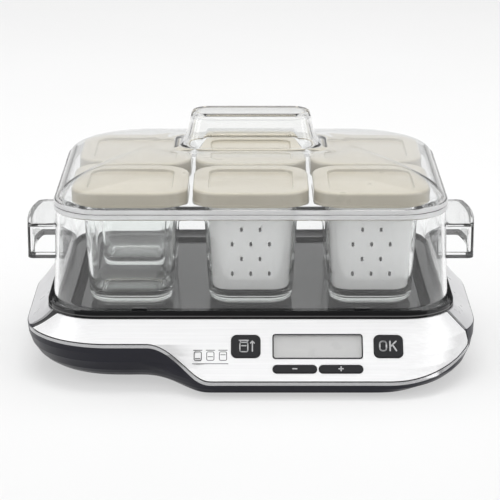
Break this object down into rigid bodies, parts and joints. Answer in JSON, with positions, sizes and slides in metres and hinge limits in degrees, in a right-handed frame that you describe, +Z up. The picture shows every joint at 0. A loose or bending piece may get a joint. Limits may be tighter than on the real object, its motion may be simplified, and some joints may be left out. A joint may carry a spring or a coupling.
{
  "type": "yogurt maker",
  "caption": "Countertop yogurt maker: heated base with control panel, clear chamber and domed cover over square glass jars with lids and strainers.",
  "frame": {"origin": "on the surface it stands on, under the middle of the whole object's box", "axes": "+Z up, +X to the right as seen from the control panel, -Y out of the control panel"},
  "size_m": [0.3002, 0.2411, 0.1576],
  "materials": {
    "navy_plastic": "satin moulded",
    "brushed_panel": "horizontal brushed grain",
    "bright_trim": "polished",
    "silver_plastic": "fine satin paint",
    "black_plastic": "fine grain",
    "tray_enamel": "glossy",
    "clear_plastic": "clear polished",
    "jar_glass": "clear pressed glass",
    "lid_cream": "satin moulded",
    "strainer_white": "satin moulded",
    "key_dark": "satin moulded",
    "window_clear": "polished",
    "lcd_grey": "display glass",
    "circuit_green": "solder mask",
    "switch_black": "moulded",
    "aluminium_plate": "rolled sheet",
    "heater_sheath": "heat-tinted sheath",
    "spring_steel": "pressed sheet",
    "sensor_brass": "turned",
    "screw_steel": "zinc plated",
    "rubber_grey": "soft moulded",
    "terminal_white": "moulded"
  },
  "bodies": {
    "base": {"base_housing": "navy_plastic", "control_fascia": "brushed_panel", "trim_strip": "bright_trim", "rear_band": "silver_plastic", "band_carrier": "black_plastic", "display_lens": "window_clear", "display_panel": "lcd_grey", "control_board": "circuit_green", "button_switches": "switch_black", "heating_tray": "tray_enamel", "bottom_cover": "black_plastic", "bottom_screws": "screw_steel", "rubber_feet": "rubber_grey", "heat_spreader": "aluminium_plate", "heating_element": "heater_sheath", "element_clips": "spring_steel", "temperature_sensor": "sensor_brass", "thermal_fuse": "terminal_white", "power_board": "circuit_green", "terminal_block": "terminal_white", "cord_gland": "black_plastic"},
    "chamber_wall": {"chamber_wall": "clear_plastic"},
    "cover": {"cover": "clear_plastic"},
    "button_program": {"button_program": "key_dark"},
    "button_ok": {"button_ok": "key_dark"},
    "button_minus": {"button_minus": "key_dark"},
    "button_plus": {"button_plus": "key_dark"},
    "jar_front_left": {"jar_front_left": "jar_glass"},
    "jar_front_middle": {"jar_front_middle": "jar_glass"},
    "jar_front_right": {"jar_front_right": "jar_glass"},
    "jar_rear_left": {"jar_rear_left": "jar_glass"},
    "jar_rear_middle": {"jar_rear_middle": "jar_glass"},
    "jar_rear_right": {"jar_rear_right": "jar_glass"},
    "jar_lid_front_left": {"jar_lid_front_left": "lid_cream"},
    "jar_lid_front_middle": {"jar_lid_front_middle": "lid_cream"},
    "jar_lid_front_right": {"jar_lid_front_right": "lid_cream"},
    "jar_lid_rear_left": {"jar_lid_rear_left": "lid_cream"},
    "jar_lid_rear_middle": {"jar_lid_rear_middle": "lid_cream"},
    "jar_lid_rear_right": {"jar_lid_rear_right": "lid_cream"},
    "strainer_front_middle": {"strainer_front_middle": "strainer_white"},
    "strainer_front_right": {"strainer_front_right": "strainer_white"}
  },
  "joints": [
    {"name": "chamber_lift", "type": "slide", "parent": "base", "child": "chamber_wall", "axis": [0, 0, 1], "range_m": [0, 0.11]},
    {"name": "cover_lift", "type": "slide", "parent": "chamber_wall", "child": "cover", "axis": [0, 0, 1], "range_m": [0, 0.24]},
    {"name": "jar_lift_front_left", "type": "slide", "parent": "base", "child": "jar_front_left", "axis": [0, 0, 1], "range_m": [0, 0.08]},
    {"name": "jar_lid_lift_front_left", "type": "slide", "parent": "jar_front_left", "child": "jar_lid_front_left", "axis": [0, 0, 1], "range_m": [0, 0.1]},
    {"name": "jar_lift_front_middle", "type": "slide", "parent": "base", "child": "jar_front_middle", "axis": [0, 0, 1], "range_m": [0, 0.08]},
    {"name": "jar_lid_lift_front_middle", "type": "slide", "parent": "jar_front_middle", "child": "jar_lid_front_middle", "axis": [0, 0, 1], "range_m": [0, 0.1]},
    {"name": "jar_lift_front_right", "type": "slide", "parent": "base", "child": "jar_front_right", "axis": [0, 0, 1], "range_m": [0, 0.08]},
    {"name": "jar_lid_lift_front_right", "type": "slide", "parent": "jar_front_right", "child": "jar_lid_front_right", "axis": [0, 0, 1], "range_m": [0, 0.1]},
    {"name": "jar_lift_rear_left", "type": "slide", "parent": "base", "child": "jar_rear_left", "axis": [0, 0, 1], "range_m": [0, 0.08]},
    {"name": "jar_lid_lift_rear_left", "type": "slide", "parent": "jar_rear_left", "child": "jar_lid_rear_left", "axis": [0, 0, 1], "range_m": [0, 0.1]},
    {"name": "jar_lift_rear_middle", "type": "slide", "parent": "base", "child": "jar_rear_middle", "axis": [0, 0, 1], "range_m": [0, 0.08]},
    {"name": "jar_lid_lift_rear_middle", "type": "slide", "parent": "jar_rear_middle", "child": "jar_lid_rear_middle", "axis": [0, 0, 1], "range_m": [0, 0.1]},
    {"name": "jar_lift_rear_right", "type": "slide", "parent": "base", "child": "jar_rear_right", "axis": [0, 0, 1], "range_m": [0, 0.08]},
    {"name": "jar_lid_lift_rear_right", "type": "slide", "parent": "jar_rear_right", "child": "jar_lid_rear_right", "axis": [0, 0, 1], "range_m": [0, 0.1]},
    {"name": "strainer_lift_front_middle", "type": "slide", "parent": "jar_front_middle", "child": "strainer_front_middle", "axis": [0, 0, 1], "range_m": [0, 0.075]},
    {"name": "strainer_lift_front_right", "type": "slide", "parent": "jar_front_right", "child": "strainer_front_right", "axis": [0, 0, 1], "range_m": [0, 0.075]},
    {"name": "program_press", "type": "slide", "parent": "base", "child": "button_program", "axis": [0, 0.7468, -0.6651], "range_m": [0, 0.001], "stiffness_N_per_m": 400},
    {"name": "ok_press", "type": "slide", "parent": "base", "child": "button_ok", "axis": [0, 0.7468, -0.6651], "range_m": [0, 0.001], "stiffness_N_per_m": 400},
    {"name": "minus_press", "type": "slide", "parent": "base", "child": "button_minus", "axis": [0, 0.7468, -0.6651], "range_m": [0, 0.001], "stiffness_N_per_m": 400},
    {"name": "plus_press", "type": "slide", "parent": "base", "child": "button_plus", "axis": [0, 0.7468, -0.6651], "range_m": [0, 0.001], "stiffness_N_per_m": 400}
  ],
  "couplings": [
    {"joint": "jar_lift_front_left", "follows": "cover_lift", "ratio": 0.33},
    {"joint": "jar_lid_lift_front_left", "follows": "cover_lift", "ratio": 0.4},
    {"joint": "jar_lift_front_middle", "follows": "cover_lift", "ratio": 0.33},
    {"joint": "jar_lid_lift_front_middle", "follows": "cover_lift", "ratio": 0.4},
    {"joint": "jar_lift_front_right", "follows": "cover_lift", "ratio": 0.33},
    {"joint": "jar_lid_lift_front_right", "follows": "cover_lift", "ratio": 0.4},
    {"joint": "jar_lift_rear_left", "follows": "cover_lift", "ratio": 0.33},
    {"joint": "jar_lid_lift_rear_left", "follows": "cover_lift", "ratio": 0.4},
    {"joint": "jar_lift_rear_middle", "follows": "cover_lift", "ratio": 0.33},
    {"joint": "jar_lid_lift_rear_middle", "follows": "cover_lift", "ratio": 0.4},
    {"joint": "jar_lift_rear_right", "follows": "cover_lift", "ratio": 0.33},
    {"joint": "jar_lid_lift_rear_right", "follows": "cover_lift", "ratio": 0.4},
    {"joint": "strainer_lift_front_middle", "follows": "cover_lift", "ratio": 0.3},
    {"joint": "strainer_lift_front_right", "follows": "cover_lift", "ratio": 0.3}
  ]
}
